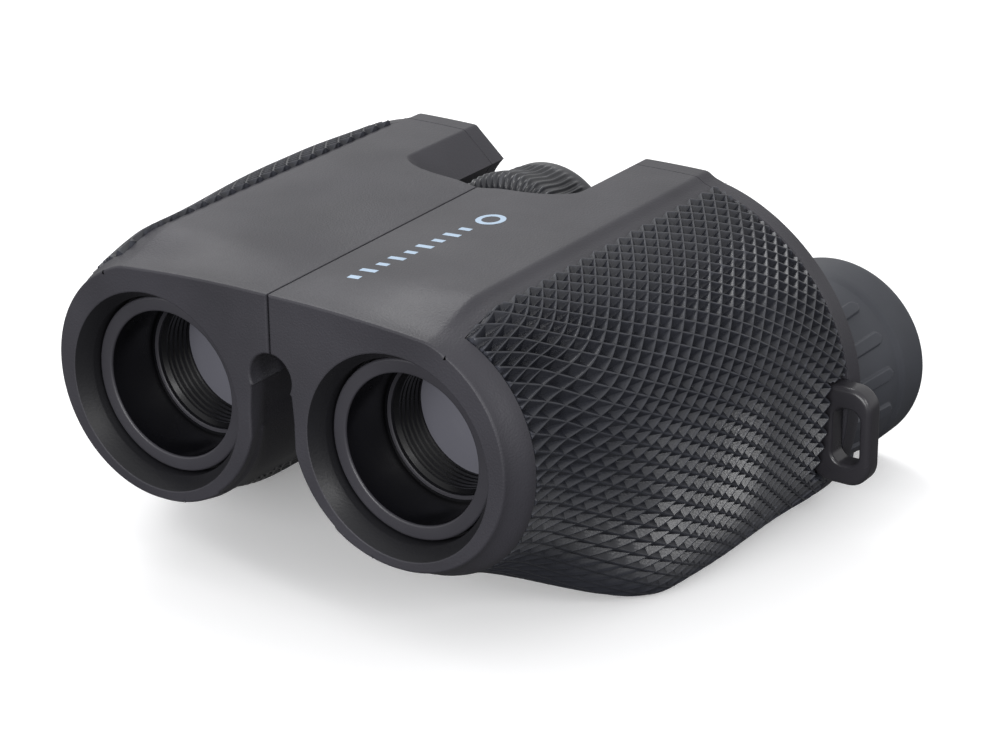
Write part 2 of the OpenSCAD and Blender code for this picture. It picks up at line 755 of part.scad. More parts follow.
for (side = SIDES) {
    housing(side);
    rear_cover(side);
    grip(side);
    strap_lug(side);
    cover_screws(side);
    objective_tube(side);
    objective_ring(side);
    objective_crown(side);
    objective_flint(side);
    focus_arm(side);
    prism_shelf(side);
    front_prism(side);
    rear_prism(side);
    prism_clips(side);
    eyepiece_barrel(side);
    eyepiece_stop(side);
    field_lens(side);
    eye_lens(side);
    eyepiece_ring(side);
    eyecup(side);
}
dioptre_ring();
hinge_pin();
hinge_bush();
focus_wheel();
focus_screw();
focus_nut();
wheel_cap();
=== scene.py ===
"""Compact reverse-porro binoculars: the looks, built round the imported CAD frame.

Lengths in the shape code are millimetres in the optic frame: x from the seam between the halves,
y behind the front faces, z over the objective axes. place() turns them into the row frame's metres.
The left half is modelled and the right half mirrors it.
"""
import math

import bmesh
import bpy
import numpy as np
from mathutils import Matrix, Vector


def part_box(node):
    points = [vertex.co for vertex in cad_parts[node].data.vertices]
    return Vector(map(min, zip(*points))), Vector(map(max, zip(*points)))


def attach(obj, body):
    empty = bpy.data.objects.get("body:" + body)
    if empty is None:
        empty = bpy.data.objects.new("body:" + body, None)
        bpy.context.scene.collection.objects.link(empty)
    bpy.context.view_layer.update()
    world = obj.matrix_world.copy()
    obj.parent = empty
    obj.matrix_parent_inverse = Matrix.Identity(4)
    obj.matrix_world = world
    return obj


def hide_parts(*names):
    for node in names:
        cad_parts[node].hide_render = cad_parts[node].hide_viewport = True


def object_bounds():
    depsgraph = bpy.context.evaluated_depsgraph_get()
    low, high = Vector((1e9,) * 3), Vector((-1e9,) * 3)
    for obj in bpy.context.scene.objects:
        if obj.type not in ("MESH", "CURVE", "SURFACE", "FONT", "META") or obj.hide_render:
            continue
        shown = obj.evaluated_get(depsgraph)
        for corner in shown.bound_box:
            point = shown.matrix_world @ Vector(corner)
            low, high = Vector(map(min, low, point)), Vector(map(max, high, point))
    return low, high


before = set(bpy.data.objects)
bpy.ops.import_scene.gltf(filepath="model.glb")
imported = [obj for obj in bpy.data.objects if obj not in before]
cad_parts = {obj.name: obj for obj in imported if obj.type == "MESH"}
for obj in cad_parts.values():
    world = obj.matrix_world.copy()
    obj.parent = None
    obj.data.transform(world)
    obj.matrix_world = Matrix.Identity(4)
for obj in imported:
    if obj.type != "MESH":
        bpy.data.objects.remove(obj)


def plain_box():
    """The stage's bounding box as plain lists of metres."""
    return [[float(v) for v in corner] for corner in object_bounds()]


cad_box = plain_box()

# ---------------------------------------------------------------- places from the frame
OPTIC_H = 28.6                  # height of the objective axes over the resting surface
OVERALL_L = (cad_box[1][1] - cad_box[0][1]) * 1000


def middle_mm(node, axis):
    """The middle of a CAD node's box along X (0), Y (1) or Z (2), in row millimetres."""
    lo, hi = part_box(node)
    return (lo[axis] + hi[axis]) * 500


OX = middle_mm("objective_tube_left", 0)                # objective axis
EX = middle_mm("eyepiece_barrel_left", 0)               # eyepiece axis
EZ = middle_mm("eyepiece_barrel_left", 2) - OPTIC_H
HZ = middle_mm("focus_wheel", 2) - OPTIC_H              # hinge and focus axis
SEAM = 0.12                     # half the gap between the two halves
GALLERY, POCKET = 3.5, 13.7     # radii of the hinge's gallery and of the wheel's pocket
POCKET_Y, COVER_Y, BODY_L = 49.7, 68.25, 71.4
COVER_END = BODY_L + 0.3
GRIP_Y0, GRIP_Y1 = 4.6, 68.0
FLARE, POCKET_FLARE = 89.6, 42  # degrees from level to the gallery's and the pocket's walls
FILLET, POCKET_FILLET = 0.12, 0.9
CLEAR = 0.02                    # between faces that meet
BED = 1.45                      # how deep the grips sit in the housings
WIDE_X, WIDE_Z = 50.3, -1.8     # the outermost point where the side has moved out
REAR_X, REAR_Z = 52.2, -8.7     # and at the rear end
BULGE_X, BULGE_R = 37.0, 15.8   # the lower bulge: its middle and its radius
REAR_BULGE_X, REAR_LIFT = 36.0, 0.3         # its middle and its rise at the rear end
FLAT_HALF = 2.5                 # half the width of the flat strip that it rests on


def place(points, side=1):
    """Optic millimetres to row metres; side -1 mirrors to the right half."""
    p = np.asarray(points, float).reshape(-1, 3)
    return np.stack([p[:, 0] * side, p[:, 1] - OVERALL_L / 2, p[:, 2] + OPTIC_H], 1) / 1000


# ---------------------------------------------------------------- mesh helpers
def add_mesh(name, points, faces, side, body, material, stands_for=(), slot=None, sharp=35.0,
             weld=0.004, flat=False, fill=None):
    """A mesh object from millimetre points, welded, with edges sharper than a limit kept crisp.
    The open edges that lie at y = fill bound a plane face, which is filled in."""
    mesh = bpy.data.meshes.new(name)
    faces = [f[::-1] for f in faces] if side < 0 else faces
    mesh.from_pydata(place(points, side).tolist(), [], [list(f) for f in faces])
    obj = bpy.data.objects.new(name, mesh)
    bpy.context.scene.collection.objects.link(obj)
    bm = bmesh.new()
    bm.from_mesh(mesh)
    bmesh.ops.remove_doubles(bm, verts=bm.verts, dist=weld / 1000)
    bmesh.ops.dissolve_degenerate(bm, edges=bm.edges, dist=weld / 2000)
    if fill is not None:
        y = place(np.array([[0.0, fill, 0.0]]), side)[0][1]
        rims = [e for e in bm.edges
                if e.is_boundary and all(abs(v.co.y - y) < 2e-6 for v in e.verts)]
        filled = bmesh.ops.triangle_fill(bm, use_beauty=True, use_dissolve=False, edges=rims)
    bmesh.ops.recalc_face_normals(bm, faces=bm.faces)
    if fill is not None:
        for f in filled["geom"]:
            if isinstance(f, bmesh.types.BMFace) and f.normal.y * y < 0:
                f.normal_flip()
    for f in bm.faces:
        f.smooth = True
    bm.to_mesh(mesh)
    bm.free()
    mesh.set_sharp_from_angle(angle=math.radians(sharp))
    if flat:
        for p in mesh.polygons:
            ys = [mesh.vertices[i].co.y for i in p.vertices]
            p.use_smooth = max(ys) - min(ys) > 2e-5
    mesh.materials.append(material)
    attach(obj, body)
    if stands_for:
        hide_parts(*stands_for)
    return obj


def skin(rows):
    """Faces between closed rings of the same number of points."""
    n = len(rows[0])
    points = np.concatenate(rows)
    faces = []
    for k in range(len(rows) - 1):
        a, b = k * n, (k + 1) * n
        for i in range(n):
            j = (i + 1) % n
            faces.append((a + i, b + i, b + j, a + j))
    return points, faces


def round_angles(n):
    """n angles evenly spread round a circle, in radians."""
    return np.arange(n) * 2 * math.pi / n


def circle(x, z, r, y, t):
    """Points round an axis along y; r and y are one value each, or one for each angle."""
    return np.stack([x + r * np.cos(t), y + 0.0 * t, z + r * np.sin(t)], 1)


def lathe(profile, x, z, n=128):
    """Surface of revolution along y; profile rows are (radius, y), going round the section."""
    t = round_angles(n)
    return skin([circle(x, z, r, y, t) for r, y in profile])


def join(*parts):
    """Several sets of points and faces as one."""
    points, faces, n = [], [], 0
    for p, f in parts:
        points.append(p)
        faces += [tuple(i + n for i in face) for face in f]
        n += len(p)
    return np.concatenate(points), faces


def rounded_profile(corners, steps=4):
    """Profile from (radius, y, rounding) corners: each corner is turned into a small arc."""
    out = []
    n = len(corners)
    for i, (r, y, q) in enumerate(corners):
        here = np.array([r, y], float)
        before = np.array(corners[i - 1][:2], float)
        after = np.array(corners[(i + 1) % n][:2], float)
        if q <= 0 or i in (0, n - 1):
            out.append(here)
            continue
        d0, d1 = before - here, after - here
        l0, l1 = np.linalg.norm(d0), np.linalg.norm(d1)
        q = min(q, 0.45 * l0, 0.45 * l1)
        p0, p1 = here + d0 / l0 * q, here + d1 / l1 * q
        for k in range(steps + 1):
            u = k / steps
            out.append((1 - u) ** 2 * p0 + 2 * u * (1 - u) * here + u * u * p1)
    return out


# ---------------------------------------------------------------- outline of a half
def mix(a, b, t):
    """From a at t = 0 to b at t = 1."""
    return a + (b - a) * t


def smooth(t):
    """An even step from 0 to 1 as t goes from 0 to 1."""
    u = min(max(t, 0.0), 1.0)
    return u * u * (3 - 2 * u)


def swell(y):
    """How far the lower bulge has grown at y, 0 to 1."""
    return smooth((y - 1.7) / 33.8)


def spread(y):
    """How far the side has moved out from the barrel at y, 0 to 1."""
    return smooth((y - 1.7) / 47.7)


def taper(y):
    """How far the rear end has drawn in at y, 0 to 1."""
    return smooth((y - 56.4) / 15.0)


def barrel(y):
    """The round front barrel: the middle's x and z, and the radius."""
    b = smooth(y / 4.2)
    return mix(20.6, 22.0, b), mix(1.2, 0.3, b), mix(17.4, 17.8, b)


def widest(y):
    """The outermost point, x and z."""
    x, z, r = barrel(y)
    return (mix(mix(x + r, WIDE_X, spread(y)), REAR_X, taper(y)),
            mix(mix(z, WIDE_Z, spread(y)), REAR_Z, taper(y)))


def bottom(y):
    """The lowest point, x and z, and the radius of the bulge there."""
    x, z, r = barrel(y)
    s = swell(y)
    return (mix(mix(x, BULGE_X, s), REAR_BULGE_X, taper(y)),
            mix(mix(z - r, -OPTIC_H, s), REAR_LIFT - OPTIC_H, taper(y)), mix(r, BULGE_R, s))


def seam_z(y):
    """Height of the top face at the seam."""
    return mix(18.9, 19.7, min(y / POCKET_Y, 1.0))


def barrel_top(y, x):
    """Height of the front barrel's circle over x."""
    bx, bz, r = barrel(y)
    return bz + math.sqrt(r * r - (x - bx) ** 2)


RIDGE_X, EDGE_X = 25.9, 28.9    # the ridge beside the top face, and the grip's upper edge
RIDGE_END = 12                  # the ridge and the edge leave the barrel's circle up to here


def ridge_at(y):
    """Height of the ridge beside the top face."""
    return mix(barrel_top(y, RIDGE_X), 20.6, smooth(y / RIDGE_END))


def edge_at(y):
    """Height of the grip's upper edge."""
    return mix(barrel_top(y, EDGE_X), 19.2, smooth(y / RIDGE_END))


def top_z(y, x):
    """Height of the slightly domed top face."""
    t = (x - SEAM) / (RIDGE_X - SEAM)
    return mix(seam_z(y), ridge_at(y), t) + 1.4 * t * (1 - t)


def side_curve(y, nu=150, nl=170):
    """Points from the grip's upper edge round the outer side to the flat strip underneath."""
    n = mix(2.0, 1.85, taper(y))
    cx = mix(barrel(y)[0], 24.0, spread(y))
    wx, wz = widest(y)
    a = wx - cx
    u = (EDGE_X - cx) / a
    h = (edge_at(y) - wz) / (1 - u ** n) ** (1 / n)
    t = math.acos(u ** (n / 2)) * (1 - np.arange(nu) / (nu - 1))
    upper = np.stack([cx + a * np.cos(t) ** (2 / n), wz + h * np.sin(t) ** (2 / n)], 1)
    n = mix(2.0, 2.28, swell(y))
    bx, bz, _ = bottom(y)
    fx = bx + FLAT_HALF * max(swell(y), 0.15)
    a, h = wx - fx, wz - bz
    t = np.radians(90 * np.arange(1, nl) / (nl - 1))
    lower = np.stack([fx + a * np.maximum(np.cos(t), 0) ** (2 / n),
                      wz - h * np.sin(t) ** (2 / n)], 1)
    return np.concatenate([upper, lower])


def under_curve(y, n=90):
    """Points from the flat strip underneath, round the bulge and the barrel, to the hinge."""
    ax, az, ra = barrel(y)
    bx, bz, rb = bottom(y)
    a = np.array([ax, az])
    b = np.array([bx - FLAT_HALF * max(swell(y), 0.15), bz + rb])
    d = b - a
    reach = max(float(np.hypot(*d)), 0.01)
    turn = math.degrees(math.atan2(d[1], d[0]) - math.acos(min(max((ra - rb) / reach, -1), 1)))
    turn = min(max(turn, -172), -96) if swell(y) > 0.001 else -126
    t0 = np.radians(np.linspace(-90, turn, n))
    t1 = np.radians(np.linspace(turn, -180, n))[1:]
    p0 = np.stack([b[0] + rb * np.cos(t0), b[1] + rb * np.sin(t0)], 1)
    p1 = np.stack([a[0] + ra * np.cos(t1), a[1] + ra * np.sin(t1)], 1)
    p = np.concatenate([p0, p1])
    p[:, 0] = np.maximum(p[:, 0], 3.7)
    return np.concatenate([p, [[3.4, 5.0], [SEAM, HZ]]])


def resample(p, n, last=True):
    """n points evenly spread along a polyline; without the last one if last is false."""
    d = np.concatenate([[0], np.cumsum(np.hypot(*np.diff(p, axis=0).T))])
    s = np.linspace(0, d[-1], n if last else n + 1)
    s = s if last else s[:-1]
    return np.stack([np.interp(s, d, p[:, 0]), np.interp(s, d, p[:, 1])], 1)


def along(p, s):
    """Points at given distances along a polyline."""
    d = np.concatenate([[0], np.cumsum(np.hypot(*np.diff(p, axis=0).T))])
    return np.stack([np.interp(s, d, p[:, 0]), np.interp(s, d, p[:, 1])], 1), d[-1]


def offset(p, depth):
    """A polyline moved inwards by a depth; outlines run clockwise seen from the front."""
    d = np.gradient(p, axis=0)
    n = np.stack([-d[:, 1], d[:, 0]], 1)
    n /= np.maximum(np.linalg.norm(n, axis=1, keepdims=True), 1e-9)
    return p - n * depth


def inset(ring, depth):
    """A closed outline moved inwards by a depth, with points that would cross drawn together."""
    edge = np.roll(ring, -1, 0) - ring
    edge /= np.maximum(np.linalg.norm(edge, axis=1, keepdims=True), 1e-9)
    n = np.stack([-edge[:, 1], edge[:, 0]], 1)
    m = n + np.roll(n, 1, 0)
    m /= np.maximum((m * m).sum(1, keepdims=True) / 2, 0.35)
    out = ring - m * depth
    for _ in range(80):
        bad = ((np.roll(out, -1, 0) - out) * edge).sum(1) < -1e-9
        if not bad.any():
            break
        for i in np.nonzero(bad)[0]:
            j = (i + 1) % len(out)
            out[i] = out[j] = (out[i] + out[j]) / 2
    return out


def grip_end(y):
    """How far the grip runs on round the underside, past the flat strip."""
    return 14.0 * smooth(y / 30) + 4


def grip_line(y):
    """The whole line that the grip lies along: its upper edge to its lower edge."""
    under, _ = along(under_curve(y), np.linspace(0, grip_end(y), 40))
    return np.concatenate([side_curve(y), under[1:]])


N_TOP, N_SIDE, N_UNDER, N_ARC, N_RAY, N_FILLET = 34, 130, 60, 22, 22, 5


def section(y, radius=GALLERY, flare=FLARE, fillet=FILLET, bed=0.0, drop=0.0, shrink=0.0):
    """The housing's outline at y: a closed ring of points, always the same number.
    radius and flare give the gallery or wheel pocket, fillet the round at its top, bed the depth of
    the grip's bed, drop how far the top sinks at the pocket, and shrink an inset all round."""
    # where the pocket's wall meets the top face
    f = math.radians(flare)
    u = np.array([math.cos(f), math.sin(f)])
    lo, hi = radius, 60.0
    for _ in range(40):
        s = (lo + hi) / 2
        x = s * u[0]
        if HZ + s * u[1] < (top_z(y, x) if x < RIDGE_X else ridge_at(y)):
            lo = s
        else:
            hi = s
    hit = np.array([lo * u[0], HZ + lo * u[1]])
    if hit[0] < SEAM:
        hit = np.array([SEAM, top_z(y, SEAM)])
    # the top face, its ridge and the strip beside the grip
    slope = np.array([1.0, (top_z(y, hit[0] + 0.1) - top_z(y, hit[0])) / 0.1])
    slope /= np.linalg.norm(slope)
    angle = math.acos(float(np.clip(slope @ -u, -1, 1)))
    reach = fillet / math.tan(angle / 2)
    t = np.linspace(0, 1, N_TOP) ** 1.15
    xs = mix(hit[0] + reach * slope[0], RIDGE_X - 0.45, t)
    top = np.array([[x, top_z(y, x)] for x in xs])
    if drop:
        w = np.array([1 - smooth((x - hit[0]) / 3.5) for x in xs])
        top[:, 1] -= drop * w
        hit = hit - [0, drop]
    ridge = np.array([RIDGE_X, ridge_at(y)])
    edge = np.array([EDGE_X, edge_at(y)])
    back = smooth(y / RIDGE_END)
    middle = np.array([mix(RIDGE_X, EDGE_X, mix(0.5, 0.42, back)),
                       mix(ridge[1], edge[1], mix(0.40, 0.58, back))])
    v = np.linspace(0, 1, 5)[1:, None]
    corner = (1 - v) ** 2 * top[-1] + 2 * v * (1 - v) * ridge + v * v * mix(ridge, middle, 0.35)
    strip = np.concatenate([corner, resample(np.array([corner[-1], middle, edge]), 6)[1:]])
    # the outer side, and the underside up to the gallery or pocket
    side = resample(grip_line(y), N_SIDE)
    under = under_curve(y)
    d = np.concatenate([[0], np.cumsum(np.hypot(*np.diff(under, axis=0).T))])
    start = grip_end(y)
    far = np.hypot(under[:, 0], under[:, 1] - HZ)
    inside = np.nonzero(far < radius)[0]
    k = inside[0] if len(inside) else len(under) - 1
    if len(inside):
        w = (far[k - 1] - radius) / (far[k - 1] - far[k])
        end = d[k - 1] + w * (d[k] - d[k - 1])
    else:
        end = d[-1]
    under, _ = along(under, np.linspace(start, max(end, start + 0.5), N_UNDER))
    # round the hinge axis, up the wall and over its fillet
    a0 = math.atan2(under[-1][1] - HZ, under[-1][0])
    arc_t = np.linspace(a0, f, N_ARC + 1)[1:]
    arc = np.stack([radius * np.cos(arc_t), HZ + radius * np.sin(arc_t)], 1)
    arc[:, 0] = np.maximum(arc[:, 0], SEAM)
    stop = hit - u * reach
    v = np.linspace(0, 1, N_RAY + 1)[1:, None]
    ray = mix(arc[-1], stop, v)
    w = np.linspace(0, 1, N_FILLET + 2)[1:-1, None]
    curl = (1 - w) ** 2 * stop + 2 * w * (1 - w) * hit + w * w * top[0]
    bedded = offset(side, bed)
    ring = np.concatenate([top, strip, [side[0]], bedded, [side[-1]], under, arc, ray, curl])
    return inset(ring, shrink) if shrink else ring


def at_y(ring, y):
    """A ring of (x, z) points as points in space."""
    return np.stack([ring[:, 0], np.full(len(ring), float(y)), ring[:, 1]], 1)


def pocket_section(y, e, bed=0.0, shrink=0.0):
    """An outline with the wheel's pocket open by e, from a start at 0 to its full shape at 1."""
    radius = mix(GALLERY, POCKET, 0.35 + 0.65 * e) if e < 1 else POCKET
    return section(y, radius=radius, flare=mix(FLARE, POCKET_FLARE, e),
                   fillet=mix(FILLET, POCKET_FILLET, e), bed=bed, shrink=shrink)


def housing_shape():
    """A housing: its bores, and its outside from the front face to the joint with the cover.
    The plane front face between the two is left for add_mesh to fill."""
    bevel = 0.36
    rows = []
    # bores, from the back of the objective's room to the front face
    bores = [(12.6, 31.0), (12.97, 31.0), (12.97, 5.6), (13.05, 5.5), (13.3, 5.45), (13.3, 2.55),
             (13.38, 2.3), (14.0, 1.2), (14.55, 0.25), (14.68, 0.06), (14.85, 0.0)]
    for k in range(7):
        a = math.radians(15 * k)
        y = bevel * (1 - math.cos(a))
        rows.append(at_y(section(y, shrink=bevel * (1 - math.sin(a))), y))
    ys = [0.8, 1.2, 1.7, 2.3, 2.9, 3.5, 4.1, GRIP_Y0 - 0.12]
    rows += [at_y(section(y), y) for y in ys]
    rows.append(at_y(section(GRIP_Y0, bed=0.12), GRIP_Y0))
    lip = 0.7
    front_lip = POCKET_Y - lip
    for y in np.linspace(GRIP_Y0 + CLEAR, front_lip - CLEAR, 46):
        rows.append(at_y(section(y, bed=BED), y))
    for k in range(5):
        a = math.radians(22.5 * k)
        y = front_lip + lip * math.sin(a)
        rows.append(at_y(section(y, bed=BED, drop=lip * (1 - math.cos(a)) * 0.6), y))
    # the wheel pocket opens behind its front wall and rounds its corners in plan
    start, spread_l = 0.62, 4.4
    for k in range(13):
        t = k / 12
        e = mix(start, 1, math.sqrt(max(1 - (1 - t) ** 2, 0)))
        y = POCKET_Y + 0.01 + spread_l * t
        rows.append(at_y(pocket_section(y, e, BED), y))
    for y in np.linspace(POCKET_Y + spread_l + 0.8, GRIP_Y1 - CLEAR, 14):
        rows.append(at_y(pocket_section(y, 1, BED), y))
    rows.append(at_y(pocket_section(GRIP_Y1 + CLEAR, 1, 0.1), GRIP_Y1 + CLEAR))
    rows.append(at_y(pocket_section(GRIP_Y1 + 0.12, 1), GRIP_Y1 + 0.12))
    end = pocket_section(COVER_Y - CLEAR, 1)
    rows += [at_y(inset(end, depth), COVER_Y - CLEAR) for depth in (0.08, 1.5)]
    return join(lathe(bores, OX, 0, 192), skin(rows))


def cover_shape():
    """A rear cover: its outside, and the collar round its eyepiece. The plane rear face between the
    two is left for add_mesh to fill."""
    first = pocket_section(COVER_Y + CLEAR, 1)
    rows = [at_y(inset(first, depth), COVER_Y + CLEAR) for depth in (1.5, 0.08)]
    for y in (COVER_Y + 0.12, COVER_Y + 0.7, COVER_Y + 1.4):
        rows.append(at_y(pocket_section(y, 1), y))
    r = 0.5
    for k in range(8):
        a = math.radians(90 * k / 7)
        y = COVER_END - r + r * math.sin(a)
        rows.append(at_y(pocket_section(y, 1, shrink=r * (1 - math.cos(a))), y))
    collar = [(13.1, COVER_END), (12.3, COVER_END + 0.05), (12.05, COVER_END + 0.15),
              (12.0, COVER_END + 0.3), (11.9, BODY_L + 0.75), (11.7, BODY_L + 0.8),
              (10.3, BODY_L + 0.8), (10.12, BODY_L + 0.72), (10.06, BODY_L + 0.5),
              (10.06, COVER_Y + 0.1)]
    return join(skin(rows), lathe(collar, EX, EZ, 192))


# ---------------------------------------------------------------- rubber grip
PITCH_Y, PITCH_S = 3.2, 2.4     # the net's pitch along the body and down its side
PIT = 1.15                      # depth of a pit
RIM = 0.05                      # half a ridge's width, as a share of the pitch
CELL = np.array([0, RIM, 0.17, 0.33, 0.5, 0.67, 0.83, 1 - RIM])
PANEL = 1.5                     # thickness of the panel
PROUD, PROUD_REACH = 0.7, 14    # how far it stands out at its upper edge, and fades down from there
LUG_Y, LUG_Z, LUG_HALF = 63.9, -12.9, 8.1   # the strap lug's notch in the panel


def bend(s):
    """How far behind the front the net's rising lines turn, at a distance down the side."""
    return np.interp(s, [0, 3, 11, 20, 38, 70], [11, 12, 19, 21, 29, 34])


def bent(y, s, softness=2.2):
    """y for the net's rising lines, which run straight to the rear in front of their bend."""
    b = bend(s)
    q = (y - b) / softness
    return softness * (np.maximum(q, 0) + np.log1p(np.exp(-np.abs(q)))) + b


def net_depth(y, s):
    """Depth of the pits between the net's ridges, 0 to 1; the crests stand up a little."""
    u = y / PITCH_Y - s / PITCH_S
    v = bent(y, s) / PITCH_Y + s / PITCH_S
    near = np.minimum(0.5 - np.abs(u - np.floor(u) - 0.5), 0.5 - np.abs(v - np.floor(v) - 0.5))
    return np.maximum(near - RIM, 0) / (0.5 - RIM) - 0.022 * np.clip(1 - near / RIM, 0, 1)


def grip_mesh():
    """The grip panel, meshed along the net's own lines so that every ridge is an edge."""
    y0, y1 = GRIP_Y0 + 0.08, GRIP_Y1 - 0.1
    # the net's two families of lines, as a grid that follows them
    lines_u = (np.arange(-26, 23)[:, None] + CELL).ravel()
    lines_v = (np.arange(0, 50)[:, None] + CELL).ravel()
    u, v = np.meshgrid(lines_u, lines_v, indexing="ij")
    lo, hi = np.full(u.shape, -120.0), np.full(u.shape, 220.0)
    for _ in range(44):
        y = (lo + hi) / 2
        s = PITCH_S * (y / PITCH_Y - u)
        low = bent(y, s) / PITCH_Y + s / PITCH_S < v
        lo, hi = np.where(low, y, lo), np.where(low, hi, y)
    y = (lo + hi) / 2
    s = PITCH_S * (y / PITCH_Y - u)
    # the panel's outline, row by row of the body
    rows = np.linspace(y0, y1, 240)
    fine = 420
    table = np.zeros((len(rows), fine, 2))
    normal = np.zeros_like(table)
    length = np.zeros(len(rows))
    for k, yy in enumerate(rows):
        line = grip_line(yy)
        _, length[k] = along(line, np.zeros(1))
        table[k] = resample(line, fine)
        d = np.gradient(table[k], axis=0)
        d = np.stack([np.convolve(np.pad(d[:, c], 6, "edge"), np.ones(13) / 13, "valid")
                      for c in (0, 1)], 1)
        normal[k] = np.stack([-d[:, 1], d[:, 0]], 1) / np.linalg.norm(d, axis=1, keepdims=True)
    inside_y = np.clip(y, y0, y1)
    reach = np.interp(inside_y, rows, length)
    inside_s = np.clip(s, 0.06, reach - 0.1)
    out = (np.abs(inside_y - y) > 1e-9) | (np.abs(inside_s - s) > 1e-9)

    def sample(grid, yy, w):
        """The grid's values between its rows (at yy) and columns (at w, 0 to 1)."""
        f = (yy - y0) / (y1 - y0) * (len(rows) - 1)
        g = w * (fine - 1)
        i, j = np.clip(f.astype(int), 0, len(rows) - 2), np.clip(g.astype(int), 0, fine - 2)
        f, g = (f - i)[..., None], (g - j)[..., None]
        return ((grid[i, j] * (1 - g) + grid[i, j + 1] * g) * (1 - f)
                + (grid[i + 1, j] * (1 - g) + grid[i + 1, j + 1] * g) * f)

    w = inside_s / reach
    base, n = sample(table, inside_y, w), sample(normal, inside_y, w)
    proud = PROUD * np.clip(1 - inside_s / PROUD_REACH, 0, 1) ** 2 + 0.03
    depth = PIT * net_depth(inside_y, inside_s) - proud
    top = base - n * depth[..., None]
    foot = base - n * PANEL
    top = np.stack([top[..., 0], inside_y, top[..., 1]], -1)
    foot = np.stack([foot[..., 0], inside_y, foot[..., 1]], -1)
    ni, nj = u.shape
    number = np.arange(ni * nj).reshape(ni, nj)
    notch = (inside_y > LUG_Y) & (np.abs(top[..., 2] - LUG_Z) < LUG_HALF)
    gone = out[:-1, :-1] & out[1:, :-1] & out[:-1, 1:] & out[1:, 1:]
    gone |= notch[:-1, :-1] | notch[1:, 1:]
    faces, edges = [], {}
    cell = len(CELL)
    for i, j in zip(*np.nonzero(~gone)):
        a, b, c, d = (int(number[i, j]), int(number[i + 1, j]), int(number[i + 1, j + 1]),
                      int(number[i, j + 1]))
        fi, fj = i % cell, j % cell
        if fi == fj:
            new = [(a, b, c), (a, c, d)]
        elif fi + fj == cell - 1:
            new = [(a, b, d), (b, c, d)]
        else:
            new = [(a, b, c, d)]
        faces += new
        for p, q in ((a, b), (b, c), (c, d), (d, a)):
            if (q, p) in edges:
                del edges[q, p]
            else:
                edges[p, q] = True
    shift = ni * nj
    faces += [(q, p, p + shift, q + shift) for p, q in edges]
    points = np.concatenate([top.reshape(-1, 3), foot.reshape(-1, 3)])
    used = np.unique(np.concatenate([np.array(f) for f in faces]))
    back = np.full(len(points), -1)
    back[used] = np.arange(len(used))
    return points[used], [tuple(int(back[q]) for q in f) for f in faces]


# ---------------------------------------------------------------- strap lug
def rounded_box(cx, cz, w, h, r, n=96):
    """Closed outline of a rounded rectangle, evenly spread, clockwise from its upper side."""
    pts = []
    for sx, sz, a0 in ((1, 1, 90), (1, -1, 0), (-1, -1, -90), (-1, 1, -180)):
        for k in range(13):
            a = math.radians(a0 - 90 * k / 12)
            pts.append((cx + sx * (w / 2 - r) + r * math.cos(a),
                        cz + sz * (h / 2 - r) + r * math.sin(a)))
    pts.append(pts[0])
    return resample(np.array(pts), n, last=False)


def lug_mesh():
    """The strap lug: a rounded loop with a slot along y."""
    lo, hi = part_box("strap_lug_left")
    x0, x1 = lo.x * 1000 + 2.0, hi.x * 1000
    z0, z1 = lo.z * 1000 - OPTIC_H, hi.z * 1000 - OPTIC_H
    y0, y1 = lo.y * 1000 + OVERALL_L / 2, hi.y * 1000 + OVERALL_L / 2
    cz = (z0 + z1) / 2
    slot_w, slot_h, wall = 4.4, 8.6, 1.7
    slot_x = x1 - wall - slot_w / 2
    outer_round, slot_round = 0.75, 0.5

    def outer(g):
        return rounded_box((x0 + x1) / 2, cz, x1 - x0 - 2 * g, z1 - z0 - 2 * g, 3.4 - g)

    def inner(g):
        return rounded_box(slot_x, cz, slot_w + 2 * g, slot_h + 2 * g, 1.7 + g)

    rows = []
    for edge, r, y, way, steps in ((outer, outer_round, y1, 1, range(7)),
                                   (inner, slot_round, y1, 1, range(6, -1, -1)),
                                   (inner, slot_round, y0, -1, range(7)),
                                   (outer, outer_round, y0, -1, range(6, -1, -1))):
        for k in steps:
            a = math.radians(15 * k)
            rows.append(at_y(edge(r * (1 - math.cos(a))), y - way * r * (1 - math.sin(a))))
    rows.append(rows[0])
    return skin(rows)


# ---------------------------------------------------------------- round parts
def rib_phase(t, ribs):
    """0 on the middle of a rib and 1 half way to the next, at angles t."""
    return np.abs(((t * ribs / (2 * math.pi)) % 1) - 0.5) * 2


def ribbed(profile, x, z, n, ribs, height, y0, y1, blunt=0.35, width=0.5):
    """A turned surface whose outside carries lengthwise ribs from y0 to y1 with round ends."""
    rows = []
    t = round_angles(n)
    w = rib_phase(t, ribs)
    for r, y, outer in profile:
        e = np.zeros(n)
        if outer and y0 <= y <= y1:
            d = min(y - y0, y1 - y) / blunt
            half = width * math.sqrt(max(1 - max(1 - d, 0) ** 2, 0))
            if half > 1e-6:
                e = np.clip((half - w) / 0.14, 0, 1)
                e = e * e * (3 - 2 * e)
        rows.append(circle(x, z, r + height * e, y, t))
    return skin(rows)


